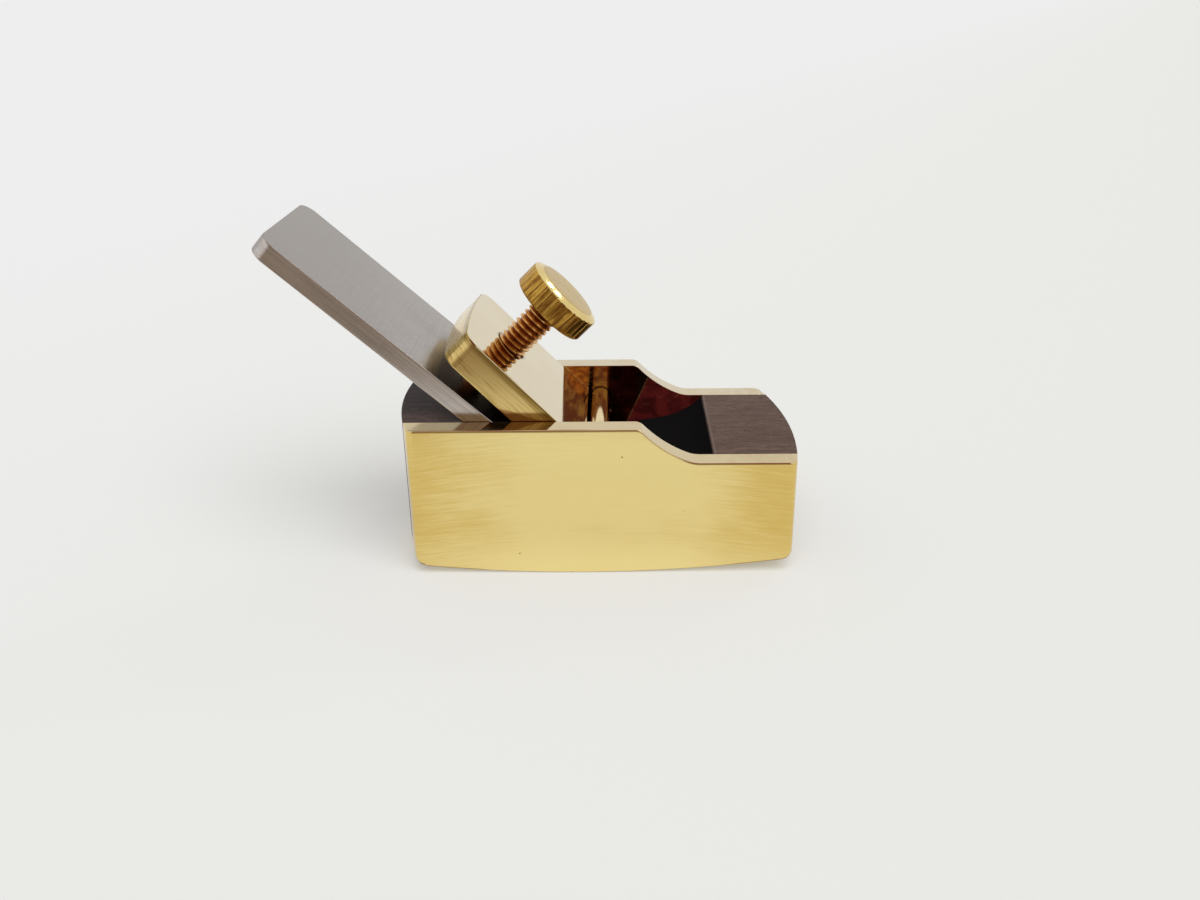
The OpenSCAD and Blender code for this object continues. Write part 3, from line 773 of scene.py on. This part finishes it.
def studMesh():
    # a thread of columns that climb one pitch a turn, then the round foot and the spigot
    bm = bmesh.new()
    steps, rows = stud["steps"], stud["rows"]
    low, high = stud["foot"], stud["shoulder"]
    count = int((high - low) / stud["pitch"]) * rows + 3 * rows
    columns = []
    for i in range(steps):
        turn = i / steps
        column = []
        for k in range(count):
            height = threadStart + stud["pitch"] * (k / rows + turn - 2)
            height = min(high, max(low, height))
            column.append(bm.verts.new(onScrew(threadRadius(height, turn), 2 * math.pi * turn, height)))
        columns.append(column)
    for i in range(steps):
        # the last column meets the first one a turn higher
        column, following = columns[i], columns[(i + 1) % steps]
        shift = rows if i == steps - 1 else 0
        for k in range(count - 1):
            if k + 1 + shift < count:
                bm.faces.new((column[k], following[k + shift], following[k + 1 + shift], column[k + 1]))
    angles = [math.pi / 2 * j / stud["footRings"] for j in range(stud["footRings"])]
    rings = [screwRing(bm, stud["core"] * math.cos(angle), low - stud["core"] * math.sin(angle), steps)
             for angle in angles]
    tip = bm.verts.new(onScrew(0, 0, low - stud["core"]))
    for near, far in zip(rings, rings[1:]):
        joinRings(bm, far, near)
    for i in range(steps):
        bm.faces.new((rings[-1][i], tip, rings[-1][(i + 1) % steps]))

    outline = [(stud["core"], high), (stud["spigot"], high), (stud["spigot"], stud["spigotTop"])]
    rings = [screwRing(bm, radius, height, steps) for radius, height in outline]
    for near, far in zip(rings, rings[1:]):
        joinRings(bm, near, far)
    bm.faces.new(rings[-1])
    bmesh.ops.remove_doubles(bm, verts=bm.verts, dist=2 * easing["weldWithin"])
    bmesh.ops.dissolve_degenerate(bm, dist=easing["weldWithin"], edges=bm.edges)
    bmesh.ops.recalc_face_normals(bm, faces=bm.faces)
    return finishedMesh(bm, "stud", stud["sharpFrom"])


keepPiece(studMesh(), "thumbscrew_stud", "stud", "screw_stud", threadLook())

head = {"radius": 5.35 * mm, "foot": 6.42 * mm, "thick": 3.55 * mm,
        "slopeWide": 1.15 * mm, "slopeHigh": 0.45 * mm, "chamfer": 0.15 * mm,
        "grooves": 34, "grooveWide": 0.26 * mm, "grooveDeep": 0.13 * mm, "perGroove": 14,
        "bore": 1.52 * mm, "boreTop": 2.22 * mm, "sharpFrom": math.radians(26),
        # how worn the grooves are, one from the next and round the head, crispest at an angle
        "wornMean": 0.75, "wornSpread": 0.75, "wornSeed": (1.7, 3.1), "crispMean": 0.75, "crispSpread": 0.45,
        "crispAt": 1.0, "rough": 0.03 * mm, "roughScale": 2600, "roughFrom": (0.3 * mm, 0.05 * mm),
        "knurledWithin": 0.6 * mm,
        # small steps of the outline
        "footIn": 0.04 * mm, "footUp": 0.7, "sideFrom": 1.3,  # the last two in chamfers
        "sideEnd": 0.08 * mm, "sideRows": 5, "edgeIn": 0.03 * mm, "edgeDown": 0.02 * mm,
        "rimIn": 0.10 * mm, "rimUp": 0.035 * mm, "slopeShort": 0.08 * mm, "slopeRows": 3,
        "lip": 0.12 * mm, "lipDown": 0.012 * mm, "topRings": (2.6 * mm, 1.2 * mm)}


def headOutline():
    # radius and height of each ring, from the bore, out under the head, up its side and in over the top
    r, t, chamfer = head["radius"], head["thick"], head["chamfer"]
    side = t - head["slopeHigh"]
    sideFrom, sideTo = chamfer * head["sideFrom"], side - head["sideEnd"]
    outline = [(head["bore"], head["boreTop"]), (head["bore"], 0), (r - chamfer, 0),
               (r - head["footIn"], chamfer * head["footUp"]), (r, sideFrom)]
    rows = head["sideRows"]
    outline += [(r, sideFrom + (sideTo - sideFrom) * j / rows) for j in range(1, rows + 1)]
    rimIn, rimUp = r - head["rimIn"], side + head["rimUp"]
    outline += [(r - head["edgeIn"], side - head["edgeDown"]), (rimIn, rimUp)]
    slopeIn, rows = r - head["slopeWide"], head["slopeRows"]
    inwards, upTo = slopeIn + head["lip"] - rimIn, head["slopeHigh"] - head["slopeShort"]
    outline += [(rimIn + inwards * j / rows, rimUp + upTo * j / rows) for j in range(1, rows + 1)]
    outline += [(slopeIn, t - head["lipDown"]), (slopeIn - head["lip"], t)]
    return outline + [(radius, t) for radius in head["topRings"]]


def knurled(radius, height, i, steps):  # the radius there, with the worn grooves cut into the side
    r = head["radius"]
    if radius <= r - head["knurledWithin"]:
        return radius
    turn = i / head["perGroove"]
    away = abs(turn - round(turn)) * 2 * math.pi * r / head["grooves"]  # distance to the groove's middle
    number = round(turn) % head["grooves"]
    apart, row = head["wornSeed"]
    worn = head["wornMean"] + head["wornSpread"] * noise.noise(Vector((number * apart, row, 0)))
    worn *= head["crispMean"] + head["crispSpread"] * math.cos(2 * math.pi * i / steps - head["crispAt"])
    deep = head["grooveDeep"] * max(0, worn) * max(0, 1 - away / (head["grooveWide"] / 2))
    rough = head["rough"] * noise.noise(onScrew(r, 2 * math.pi * i / steps, height) * head["roughScale"])
    return min(radius, r - deep + rough * smoothStep(radius, *(r - depth for depth in head["roughFrom"])))


def headMesh():
    steps = head["grooves"] * head["perGroove"]
    bm = bmesh.new()
    rings = []
    for radius, height in headOutline():
        rings.append([bm.verts.new(onScrew(knurled(radius, height, i, steps), 2 * math.pi * i / steps,
                                           head["foot"] + height)) for i in range(steps)])
    for near, far in zip(rings, rings[1:]):
        joinRings(bm, near, far)
    bm.faces.new(rings[0])
    bm.faces.new(rings[-1])
    bmesh.ops.remove_doubles(bm, verts=bm.verts, dist=easing["weldWithin"])
    bmesh.ops.recalc_face_normals(bm, faces=bm.faces)
    return finishedMesh(bm, "head", math.radians(26))


keepPiece(headMesh(), "thumbscrew_head", "head", "screw_head", headLook())
print("screw made")

studio = {
    "paper": (0.85, 0.85, 0.85), "paperWarm": (0.812, 0.812, 0.778), "paperDarkInReflections": (0.33, 0.275, 0.22),
    "warmFrom": (-0.3, 0.15), "reflectedDarkFrom": (60 * mm, 90 * mm), "paperRadius": 6.0, "paperRings": 10,
    "paperSteps": 48, "softening": 0.32, "glow": 0.99,
    "sky": 0.38, "backdrop": (0.847, 0.847, 0.84), "room": (0.34, 0.27, 0.21), "ceiling": (0.26, 0.09, 0.05),
    "ceilingTowards": (0.1, -0.45, 0.89),
    "keyTowards": (0.16, -0.50, 0.85), "keyStrength": 2.25, "keyAngle": 60,
    "backLamps": ((0.501, 0.646, 0.576), (0.617, 0.573, 0.539)), "backStrength": 0.06, "backAngle": 5,
}


def paperMesh():
    # a round sheet whose rings widen outwards
    rings, steps = studio["paperRings"], studio["paperSteps"]
    angles = [2 * math.pi * i / steps for i in range(steps)]
    bm = bmesh.new()
    middle = bm.verts.new((0, 0, 0))
    last = None
    for j in range(1, rings + 1):
        reach = studio["paperRadius"] * (j / rings) ** 2
        ring = [bm.verts.new((reach * math.cos(angle), reach * math.sin(angle), 0)) for angle in angles]
        for i in range(steps):
            if last is None:
                bm.faces.new((middle, ring[i], ring[(i + 1) % steps]))
            else:
                bm.faces.new((last[i], ring[i], ring[(i + 1) % steps], last[(i + 1) % steps]))
        last = ring
    mesh = bpy.data.meshes.new("paper")
    bm.to_mesh(mesh)
    bm.free()
    return mesh


def makeFloor():
    paper = bpy.data.objects.new("floor", paperMesh())
    bpy.context.scene.collection.objects.link(paper)
    look = newLook("floor_paper")
    x, y = look.axes(look.place())[:2]
    warm = (x - y * 0.5).step(*studio["warmFrom"])
    base = look.tint(warm, studio["paper"], studio["paperWarm"])
    glossy = look.node("LightPath", output="Is Glossy Ray")
    # polished faces see the paper dark in front of the plane: a painted reflection
    ahead = (0 - y).step(*studio["reflectedDarkFrom"])
    lit = look.node("BsdfDiffuse", None, {"Color": base})
    glow = look.node("Emission", None, {"Color": base, "Strength": studio["glow"]})
    # light shadows, as in a lit tent
    pale = look.node("MixShader", None, {0: studio["softening"], 1: lit, 2: glow})
    dark = look.node("Emission", None, {"Color": opaque(studio["paperDarkInReflections"]), "Strength": 1.0})
    shader = look.node("MixShader", None, {0: glossy * ahead, 1: pale, 2: dark})
    look.node("OutputMaterial", None, {"Surface": shader})
    dress(paper, look.owner)


def makeWorld():
    # pale to the camera, grey to dull faces, and to polished ones a pale wall, a dim room and a warm ceiling
    world = bpy.data.worlds.new("studio")
    bpy.context.scene.world = world
    look = Look(world)
    direction = look.node("TexCoord", output="Generated")
    dy = look.axes(direction)[1]
    cameraRay = look.node("LightPath", output="Is Camera Ray")
    glossy = look.node("LightPath", output="Is Glossy Ray")
    room = look.tint((0 - dy).step(0.55, 0.85), studio["backdrop"], studio["room"])
    overhead = look.along(direction, studio["ceilingTowards"]).step(0.80, 0.95)
    seen = look.tint(overhead, room, studio["ceiling"])
    plain = look.tint(glossy, (studio["sky"],) * 3, seen)
    colour = look.tint(cameraRay, plain, studio["backdrop"])
    back = look.node("Background", None, {"Color": colour, "Strength": 1.0})
    look.node("OutputWorld", None, {"Surface": back})


def makeSun(name, towards, strength, angle, inGloss=False):
    lamp = bpy.data.lights.new(name, "SUN")
    lamp.energy = strength
    lamp.angle = math.radians(angle)
    holder = bpy.data.objects.new(name, lamp)
    bpy.context.scene.collection.objects.link(holder)
    holder.rotation_euler = Vector(towards).to_track_quat("Z", "Y").to_euler()
    holder.visible_glossy = inGloss


makeCamera()
makeFloor()
makeWorld()
makeSun("key_lamp", studio["keyTowards"], studio["keyStrength"], studio["keyAngle"])
for number, towards in enumerate(studio["backLamps"]):
    makeSun("back_lamp_%d" % number, towards, studio["backStrength"], studio["backAngle"], True)
bpy.context.scene.view_settings.view_transform = "Standard"
print("studio made")
